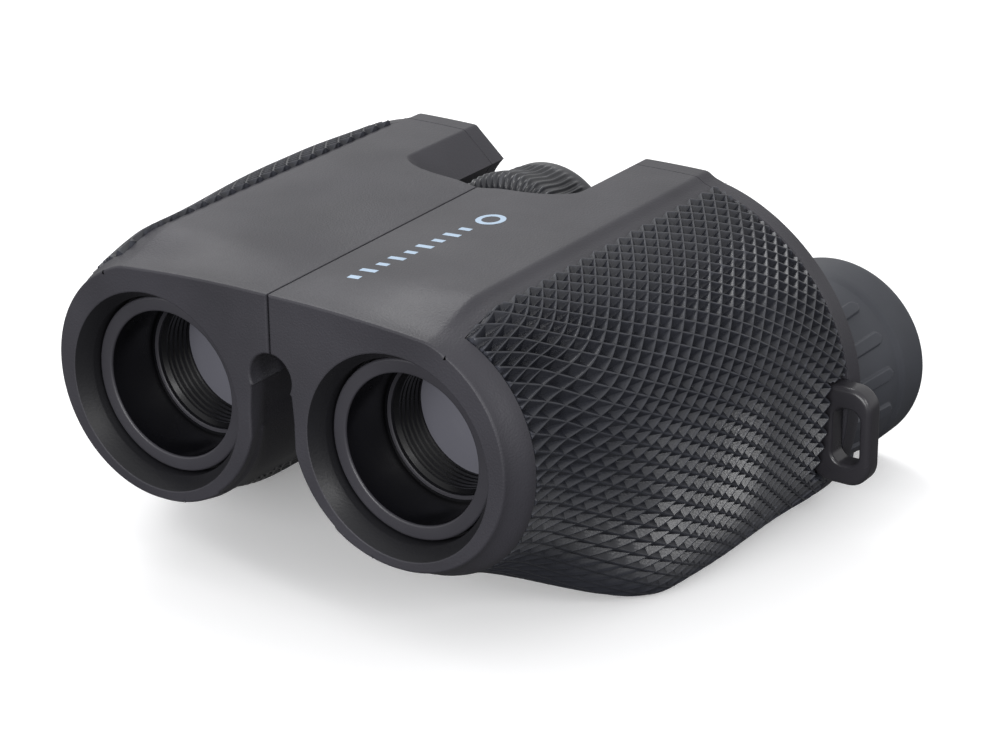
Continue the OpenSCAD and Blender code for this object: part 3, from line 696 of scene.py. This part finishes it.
def eyecup_profile(start, land, end):
    """(radius, y, outside?) round an eyecup's section, from its foot out and back inside."""
    base, full, rim = 13.6, 14.6, 15.0
    out = [(10.05, start + 0.3, False), (10.3, start, False), (base - 0.5, start, True),
           (base - 0.12, start + 0.12, True), (base, start + 0.5, True)]
    for y in np.linspace(start + 0.9, land, 46):
        t = (y - start) / (land - start)
        out.append((mix(base, full, smooth(t * 1.1)), y, True))
    for y in np.linspace(land + 0.2, end - 1.5, 8):
        out.append((full + 0.4 * smooth((y - land) / 0.8), y, True))
    for k in range(1, 9):
        a = math.radians(90 * k / 8)
        out.append((rim - 0.9 * (1 - math.cos(a)), end - 0.8 + 0.9 * math.sin(a), False))
    out += [(12.9, end + 0.1, False), (12.5, end - 0.1, False), (12.1, end - 0.6, False),
            (11.6, end - 1.6, False), (11.0, end - 4.2, False), (10.7, 88.9, False),
            (10.3, 88.65, False), (8.2, 88.6, False), (8.0, 88.4, False), (8.0, 87.62, False),
            (10.05, 87.62, False), (10.05, start + 0.3, False)]
    return out


def knurled_wheel(r, y0, y1, n=1536, ribs=64):
    """The focus wheel: ribs that run over its domed front shoulder, and a plain rear edge."""
    crown, edge = r + 1.0, r - 0.15
    t = round_angles(n)
    form = 0.5 + 0.5 * np.cos(math.pi * np.clip(rib_phase(t, ribs) * 1.15, 0, 1))
    # (radius, y, how much of the ribs' height is there), from the hub round the outside
    profile = [(2.0, y0 + 1.5, 0), (5.5, y0 + 1.5, 0), (6.2, y0 + 1.2, 0),
               (6.6, y0 + 0.4, 0), (7.2, y0 + 0.05, 0), (8.2, y0, 0)]
    for k in range(13):
        a = math.radians(90 * k / 12)
        profile.append((crown - 3.0 * (1 - math.sin(a)), y0 + 2.0 * (1 - math.cos(a)),
                        smooth((k - 1) / 4)))
    for y in np.linspace(y0 + 2.4, y1 - 1.3, 22):
        fall = smooth((y - y0 - 1.4) / 6.5)
        profile.append((mix(crown, edge, fall), y, smooth((y1 - 2.0 - y) / 1.2)))
    for k in range(1, 7):
        a = math.radians(15 * k)
        profile.append((edge - 1.1 * (1 - math.cos(a)), y1 - 1.1 + 1.1 * math.sin(a), 0))
    profile += [(9.0, y1, 0), (8.75, y1 - 0.15, 0), (8.65, y1 - 0.5, 0),
                (8.65, y1 - 2, 0), (2.0, y1 - 2, 0), (2.0, y0 + 1.5, 0)]
    relief = 0.22 * form - 0.2 * (1 - form)
    return skin([circle(0, HZ, radius + rib * relief, y, t) for radius, y, rib in profile])


def lens_mesh(x, z, y, r, bulge, back, n=128, steps=14):
    """A lens: its front face stands out towards -y by bulge, and its back face is at back."""
    radii = [k / steps * r for k in range(steps + 1)]
    profile = [(q, y - bulge * (1 - (q / r) ** 2)) for q in radii]
    return lathe(profile + [(q, back) for q in reversed(radii)], x, z, n)


def screw_head(x, z, y, r=1.6):
    """A pan head on the rear cover with a cross recess; its dome stands a little over y."""
    dome, recess, depth = 0.3, 0.35, 0.7
    arm_half, arm_end = 0.24, 1.0
    t = round_angles(96)
    rows = []
    for q in np.linspace(0, r, 33):
        dx, dz = np.abs(q * np.cos(t)), np.abs(q * np.sin(t))
        cross = (np.minimum(dx, dz) < arm_half) & (np.maximum(dx, dz) < arm_end)
        rows.append(circle(x, z, q, np.where(cross, y - recess, y + dome * (1 - (q / r) ** 4)), t))
    rows.append(rows[-1] - [0, depth, 0])
    rows.append(circle(x, z, 0, y - depth, t))
    return skin(rows[::-1])


def paint(obj, material, chosen):
    """A second material on the faces whose middle (millimetres from the seam, the front face and
    the objective axes, on the left half) is chosen."""
    obj.data.materials.append(material)
    for f in obj.data.polygons:
        x, y, z = f.center * 1000
        if chosen(abs(x), y + OVERALL_L / 2, z - OPTIC_H):
            f.material_index = 1


# ---------------------------------------------------------------- materials
def node_material(name, base, rough=0.5, metallic=0.0, coat=0.0, coat_rough=0.1, spec=0.5,
                  grain=(0.0, 1000.0), tint=(0.15, 60.0), rough_var=(0.08, 40.0),
                  wear=0.0, transmission=0.0, emission=None):
    """Procedural surface: base colour with cloudy variation, fine moulded grain, uneven gloss and
    paler convex edges, which are part wear and part painted highlight. grain is (strength, scale),
    tint and rough_var are (spread, scale), and emission is (red, green, blue, strength)."""
    m = bpy.data.materials.new(name)
    m.use_nodes = True
    nt = m.node_tree
    nt.nodes.clear()
    out = nt.nodes.new("ShaderNodeOutputMaterial")
    b = nt.nodes.new("ShaderNodeBsdfPrincipled")
    nt.links.new(b.outputs[0], out.inputs[0])
    b.inputs["Metallic"].default_value = metallic
    b.inputs["Specular IOR Level"].default_value = spec
    b.inputs["Coat Weight"].default_value = coat
    b.inputs["Coat Roughness"].default_value = coat_rough
    b.inputs["Transmission Weight"].default_value = transmission
    b.inputs["IOR"].default_value = 1.5
    co = nt.nodes.new("ShaderNodeTexCoord")

    def noise_node(scale, detail=3.0):
        n = nt.nodes.new("ShaderNodeTexNoise")
        n.inputs["Scale"].default_value = scale
        n.inputs["Detail"].default_value = detail
        nt.links.new(co.outputs["Object"], n.inputs["Vector"])
        return n

    def ramp(source, lo, hi, a, b_):
        r = nt.nodes.new("ShaderNodeMapRange")
        r.inputs["From Min"].default_value = lo
        r.inputs["From Max"].default_value = hi
        r.inputs["To Min"].default_value = a
        r.inputs["To Max"].default_value = b_
        nt.links.new(source, r.inputs["Value"])
        return r.outputs[0]

    cloud = noise_node(tint[1])
    shade = nt.nodes.new("ShaderNodeMix")
    shade.data_type = "RGBA"
    shade.inputs[6].default_value = (*[c * (1 - tint[0]) for c in base], 1)
    shade.inputs[7].default_value = (*[min(c * (1 + tint[0]), 1) for c in base], 1)
    nt.links.new(ramp(cloud.outputs["Fac"], 0.3, 0.7, 0, 1), shade.inputs[0])
    colour = shade.outputs[2]
    # paler convex edges found by pointiness: part wear, part painted highlight on ridges and rims
    if wear:
        geo = nt.nodes.new("ShaderNodeNewGeometry")
        edge = nt.nodes.new("ShaderNodeMix")
        edge.data_type = "RGBA"
        edge.inputs[7].default_value = (*[min(c * (1 + wear) + 0.01, 1) for c in base], 1)
        nt.links.new(colour, edge.inputs[6])
        nt.links.new(ramp(geo.outputs["Pointiness"], 0.51, 0.56, 0, 1), edge.inputs[0])
        colour = edge.outputs[2]
    nt.links.new(colour, b.inputs["Base Color"])
    gloss = noise_node(rough_var[1])
    nt.links.new(ramp(gloss.outputs["Fac"], 0.3, 0.7, rough - rough_var[0], rough + rough_var[0]),
                 b.inputs["Roughness"])
    if grain[0]:
        fine = noise_node(grain[1], 2.0)
        bump = nt.nodes.new("ShaderNodeBump")
        bump.inputs["Strength"].default_value = grain[0]
        bump.inputs["Distance"].default_value = 0.0001
        nt.links.new(fine.outputs["Fac"], bump.inputs["Height"])
        nt.links.new(bump.outputs[0], b.inputs["Normal"])
    if emission:
        b.inputs["Emission Color"].default_value = (*emission[:3], 1)
        b.inputs["Emission Strength"].default_value = emission[3]
    return m


plastic = node_material("charcoal_plastic", (0.035, 0.034, 0.041), rough=0.46, spec=0.30,
                        grain=(0.5, 3200.0))
# the grip's ridges get paler edges: part wear, part painted highlight standing for their glints
rubber_grip = node_material("grip_rubber", (0.014, 0.015, 0.020), rough=0.30, spec=0.5,
                            grain=(0.25, 3000.0), wear=1.2, tint=(0.2, 80.0))
gloss = node_material("gloss_black", (0.022, 0.021, 0.025), rough=0.28, spec=0.4, coat=0.15,
                      grain=(0.05, 900.0))
satin = node_material("satin_tube", (0.036, 0.035, 0.042), rough=0.36, grain=(0.12, 2000.0))
inner = node_material("inner_black", (0.003, 0.003, 0.004), rough=0.22, spec=0.35,
                      grain=(0.05, 1500.0))
# painted shade: a darker copy of the housing plastic for the bore and mouth cone, where shade falls
painted_mouth_shade = node_material("mouth_black", (0.010, 0.010, 0.012), rough=0.42, spec=0.35,
                      grain=(0.25, 2600.0))
rim_ring = node_material("lens_ring_black", (0.012, 0.012, 0.014), rough=0.25, grain=(0.08, 1500.0))
# painted glow: the lenses carry a faint emission, though they are no lamps
glowing_lens_glass = node_material("coated_lens", (0.11, 0.11, 0.13), rough=0.35, spec=0.6, coat=0.6,
                      coat_rough=0.05, tint=(0.05, 40.0), rough_var=(0.02, 60.0),
                      emission=(0.30, 0.30, 0.35, 0.045))
clear = node_material("plain_glass", (0.55, 0.58, 0.6), rough=0.06, transmission=0.9,
                      tint=(0.03, 30.0), rough_var=(0.02, 40.0))
steel = node_material("turned_steel", (0.45, 0.46, 0.48), rough=0.3, metallic=1.0,
                      grain=(0.1, 1800.0))
brass = node_material("turned_brass", (0.6, 0.42, 0.18), rough=0.3, metallic=1.0,
                      grain=(0.1, 1800.0))
wheel_rubber = node_material("wheel_rubber", (0.026, 0.027, 0.032), rough=0.40,
                             grain=(0.2, 2500.0), wear=0.8)
cup_rubber = node_material("eyecup_rubber", (0.045, 0.048, 0.058), rough=0.60, spec=0.35,
                           grain=(0.25, 2200.0), wear=0.2)
mark_paint = node_material("mark_print", (0.36, 0.47, 0.60), rough=0.5, tint=(0.06, 300.0))

# ---------------------------------------------------------------- build the pieces
TUBE_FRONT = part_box("objective_tube_left")[0].y * 1000 + OVERALL_L / 2
TUBE_R = 10.8                   # inside the objective tube, in front of the lens ring
MOUTH_R, ROOM_END = 14.75, 32   # the bore behind the front face, darkened as painted shade
COLLAR_Y0, COLLAR_Y1 = 72.4, 78.0           # the dioptre ring, before the right eyecup
COLLAR_GAP = 1.35
SCREWS = ((20.5, 17.7), (46.7, 1.0), (17.2, -14.6))
KNUCKLE_R = 3.3


def tube_shape():
    """An objective tube, from its seat for the lens round the outside."""
    front = TUBE_FRONT
    corners = [(10.4, 24.3, 0), (9.6, 24.3, 0), (9.6, 29.6, 0), (12.9, 29.6, 0.2),
               (12.9, front, 0.4), (TUBE_R, front, 0.35), (TUBE_R, 12.38, 0), (10.4, 12.4, 0),
               (10.4, 24.3, 0)]
    return lathe(rounded_profile(corners), OX, 0)


def lens_ring_shape():
    """The ring in front of an objective lens, with five grooves that trap stray light."""
    profile = [(10.4, 18.75), (10.4, 12.4), (10.05, 12.4), (9.9, 12.55), (9.85, 13.1)]
    for k in range(5):
        y = 13.6 + k * 1.02
        profile += [(9.3, y), (9.3, y + 0.35), (9.5, y + 0.55), (9.3, y + 0.75)]
    profile += [(9.28, 18.75), (10.4, 18.75)]
    return lathe(profile, OX, 0)


def eyecup_shape(start):
    """An eyecup whose foot is at start, with 16 low ribs along its waist."""
    profile = eyecup_profile(start, land=86.6, end=OVERALL_L)
    return ribbed(profile, EX, EZ, n=1024, ribs=16, height=0.5, y0=start + 0.9, y1=84.6,
                  blunt=1.3, width=0.42)


def knuckle_shape(bore, y0, length):
    """A hinge knuckle round a bore, with small rounds on its outer edges."""
    y1 = y0 + length
    corners = [(bore, y0, 0), (KNUCKLE_R, y0, 0.3), (KNUCKLE_R, y1, 0.3), (bore, y1, 0),
               (bore, y0, 0)]
    return lathe(rounded_profile(corners), 0, HZ, 64)


def collar_shape():
    """The dioptre ring, with 60 fine ribs for the fingers."""
    corners = [(10.08, COLLAR_Y0, 0), (13.55, COLLAR_Y0, 0.4), (13.55, COLLAR_Y1, 0.4),
               (10.08, COLLAR_Y1, 0), (10.08, COLLAR_Y0, 0)]
    profile = [(r, y, True) for r, y in rounded_profile(corners)]
    return ribbed(profile, EX, EZ, n=720, ribs=60, height=0.15, y0=COLLAR_Y0 + 0.6,
                  y1=COLLAR_Y1 - 0.6)


def badge_shape():
    """The cap in the rear of the focus wheel."""
    corners = [(0.02, 68.0, 0), (8.6, 68.0, 0), (8.6, 69.75, 0.5), (7.6, 70.25, 0.6),
               (6.9, 70.25, 0.2), (6.7, 70.0, 0.2), (2.2, 70.35, 0.4), (0.02, 70.45, 0)]
    return lathe(rounded_profile(corners), 0, HZ)


house = housing_shape()
cover = cover_shape()
grip = grip_mesh()
lug = lug_mesh()
tube = tube_shape()
lens_ring = lens_ring_shape()
front_lens = lens_mesh(OX, 0, y=18.9, r=10.3, bulge=0.8, back=22.28)
rear_lens = lens_mesh(EX, EZ, y=81.4, r=8.68, bulge=0.6, back=84.9)

for label, side in (("left", 1), ("right", -1)):
    half = f"{label}_half"
    objective = f"objective_{label}"
    eyepiece = "left_half" if side > 0 else "eyepiece_right"
    obj = add_mesh(f"housing_shell_{label}", *house, side, half, plastic,
                   [f"housing_{label}"], "body", sharp=32, flat=True, fill=0)
    # the bore and mouth cone take the darker plastic, a painted shade
    paint(obj, painted_mouth_shade, lambda x, y, z: math.hypot(x - OX, z) < MOUTH_R and 0.03 < y < ROOM_END)
    add_mesh(f"cover_shell_{label}", *cover, side, half, plastic,
             [f"rear_cover_{label}"], "body", sharp=32, flat=True, fill=COVER_END)
    add_mesh(f"grip_pad_{label}", *grip, side, half, rubber_grip, [f"grip_{label}"], "grip",
             sharp=30, weld=0.0015)
    add_mesh(f"strap_loop_{label}", *lug, side, half, gloss, [f"strap_lug_{label}"], "lug")
    obj = add_mesh(f"objective_barrel_{label}", *tube, side, objective, satin,
                   [f"objective_tube_{label}"], "tube")
    paint(obj, inner,
          lambda x, y, z: math.hypot(x - OX, z) < TUBE_R + 0.02 and y > TUBE_FRONT + 0.3)
    obj = add_mesh(f"objective_stop_{label}", *lens_ring, side, objective, inner,
                   [f"objective_ring_{label}"], "inner_black")
    paint(obj, satin, lambda x, y, z: y < 12.58)
    add_mesh(f"front_lens_{label}", *front_lens, side, objective, glowing_lens_glass,
             [f"objective_crown_{label}"], "lens")
    cup = eyecup_shape(COLLAR_Y0 if side > 0 else COLLAR_Y1 + COLLAR_GAP)
    add_mesh(f"eyecup_skin_{label}", *cup, side, eyepiece, cup_rubber, [f"eyecup_{label}"],
             "eyecup", sharp=50)
    add_mesh(f"rear_lens_{label}", *rear_lens, side, eyepiece, glowing_lens_glass,
             [f"eye_lens_{label}"], "lens")
    for k, (x, z) in enumerate(SCREWS):
        add_mesh(f"cover_screw_{label}_{k}", *screw_head(x, z, COVER_END), side, half, steel,
                 [f"cover_screws_{label}"] if k == 0 else (), "steel", sharp=40)
    pin_y, bush_y = (8.15, 40.75) if side > 0 else (13.15, 43.75)
    knuckles = (knuckle_shape(bore=1.68, y0=pin_y, length=4.7),
                knuckle_shape(bore=2.68, y0=bush_y, length=2.7))
    for k, knuckle in enumerate(knuckles):
        add_mesh(f"knuckle_{label}_{k}", *knuckle, side, half, plastic, (), "body")

add_mesh("dioptre_collar", *collar_shape(), -1, "dioptre_ring", plastic, ["dioptre_ring"], "body")
add_mesh("focus_tyre", *knurled_wheel(r=11.1, y0=57.0, y1=70.0), 1, "focus_wheel", wheel_rubber,
         ["focus_wheel"], "wheel", sharp=50)
add_mesh("wheel_badge", *badge_shape(), 1, "focus_wheel", plastic, ["wheel_cap"], "body")


def decal(name, loops):
    """Thin printed shapes on the top face: each loop is a list of (x, y) points."""
    points, faces = [], []
    for loop in loops:
        n0 = len(points)
        for x, y in loop:
            points.append((x, y, top_z(y, x) + 0.012))
        faces.append(tuple(range(n0, n0 + len(loop)))[::-1])
    return add_mesh(name, points, faces, 1, "left_half", mark_paint, weld=0.0001)


def bar(x0, x1, y0, y1, n=4):
    """A bar across x, cut into short pieces so that it follows the curve of the top."""
    xs = np.linspace(x0, x1, n)
    return [[(a, y0), (b, y0), (b, y1), (a, y1)] for a, b in zip(xs[:-1], xs[1:])]


def print_loops():
    """A plain ring and a row of nine bars, where the real one carries its print."""
    ring_x, ring_y, outer, hollow = 10.6, 37.4, 2.2, 1.35
    loops = []
    for k in range(48):
        a0, a1 = 2 * math.pi * k / 48, 2 * math.pi * (k + 1) / 48
        loops.append([(ring_x + q * math.cos(a), ring_y + q * math.sin(a))
                      for q, a in ((outer, a0), (outer, a1), (hollow, a1), (hollow, a0))])
    for k in range(9):
        y = 32.4 - 2.8 * k
        x = 10.3 - 0.115 * (ring_y - y)
        half = 1.35 if k % 2 else 0.95
        loops += bar(x - half, x + half, y - 0.5, y + 0.5)
    return loops


decal("plain_mark", print_loops())

# ---------------------------------------------------------------- carried-over CAD nodes
finishes = {"objective_flint": clear, "focus_arm": satin, "prism_shelf": inner,
            "front_prism": clear, "rear_prism": clear, "prism_clips": steel,
            "eyepiece_barrel": inner, "eyepiece_stop": inner, "field_lens": clear,
            "eyepiece_ring": rim_ring, "hinge_pin": steel, "hinge_bush": steel,
            "focus_screw": steel, "focus_nut": brass}
for name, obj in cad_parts.items():
    kind = name.replace("_left", "").replace("_right", "")
    if kind in finishes:
        for s in obj.material_slots:
            s.material = finishes[kind]

# ---------------------------------------------------------------- floor, light and camera
def add_floor():
    """A white disc of metres, in rings that grow wider outwards, just under the resting surface."""
    n, around, reach, below = 24, 64, 2.6, 0.00005
    t = round_angles(around)
    rows = []
    for k in range(n + 1):
        r = reach * (k / n) ** 1.5 + 0.001
        rows.append(np.stack([r * np.cos(t), r * np.sin(t), 0.0 * t - below], 1))
    points, faces = skin(rows)
    mesh = bpy.data.meshes.new("floor")
    mesh.from_pydata(points.tolist(), [], [f[::-1] for f in faces] + [tuple(range(around))])
    obj = bpy.data.objects.new("floor", mesh)
    bpy.context.scene.collection.objects.link(obj)
    m = node_material("floor_paper", (0.93, 0.93, 0.94), rough=0.7, tint=(0.005, 2.0), spec=0.2,
                      emission=(1.0, 1.0, 1.0, 0.2))
    mesh.materials.append(m)
    obj.visible_diffuse = False
    obj.visible_glossy = False


def add_light(name, where, target, size, watts):
    """A rectangular lamp of the given size in metres, turned towards a target."""
    data = bpy.data.lights.new(name, "AREA")
    data.shape = "RECTANGLE"
    data.size, data.size_y = size
    data.energy = watts
    obj = bpy.data.objects.new(name, data)
    obj.location = where
    obj.rotation_euler = (Vector(target) - Vector(where)).to_track_quat("-Z", "Y").to_euler()
    bpy.context.scene.collection.objects.link(obj)


def add_world():
    """A white room that is brighter overhead than below the horizon."""
    world = bpy.data.worlds.new("studio")
    world.use_nodes = True
    nt = world.node_tree
    where = nt.nodes.new("ShaderNodeTexCoord")
    split = nt.nodes.new("ShaderNodeSeparateXYZ")
    height = nt.nodes.new("ShaderNodeMapRange")
    height.inputs["From Min"].default_value = -0.15
    height.inputs["From Max"].default_value = 0.1
    height.inputs["To Min"].default_value = 0.10
    height.inputs["To Max"].default_value = 0.80
    nt.links.new(where.outputs["Generated"], split.inputs[0])
    nt.links.new(split.outputs[2], height.inputs["Value"])
    nt.nodes["Background"].inputs[0].default_value = (1, 1, 1, 1)
    nt.links.new(height.outputs[0], nt.nodes["Background"].inputs[1])
    bpy.context.scene.world = world


def add_camera(where, azimuth, elevation, roll, lens):
    """A camera that looks back along the direction given by its angles in degrees."""
    data = bpy.data.cameras.new("camera")
    data.lens = lens
    data.sensor_width = 36
    data.clip_start = 0.01
    azimuth, elevation, roll = (math.radians(v) for v in (azimuth, elevation, roll))
    back = Vector((math.sin(azimuth) * math.cos(elevation),
                   -math.cos(azimuth) * math.cos(elevation), math.sin(elevation)))
    right = Vector((math.cos(azimuth), math.sin(azimuth), 0))
    up = back.cross(right)
    across = math.cos(roll) * right + math.sin(roll) * up
    above = -math.sin(roll) * right + math.cos(roll) * up
    cam = bpy.data.objects.new("camera", data)
    cam.matrix_world = Matrix.Translation(where) @ Matrix((across, above, back)).transposed().to_4x4()
    bpy.context.scene.collection.objects.link(cam)
    bpy.context.scene.camera = cam


add_floor()
add_world()
bpy.context.scene.view_settings.view_transform = "Standard"
add_light("key", (-0.45, 0.35, 0.75), (0, 0, 0.02), size=(0.45, 0.45), watts=3.0)
add_light("side", (0.75, -0.35, 0.5), (0.03, 0, 0.03), size=(0.12, 0.3), watts=2.2)
add_light("front", (0.15, -1.0, 0.3), (0, -0.03, 0.03), size=(0.8, 0.5), watts=8.5)
add_camera((0.23453, -0.33573, 0.19011), azimuth=34.34, elevation=22.55, roll=-0.58, lens=107.55)
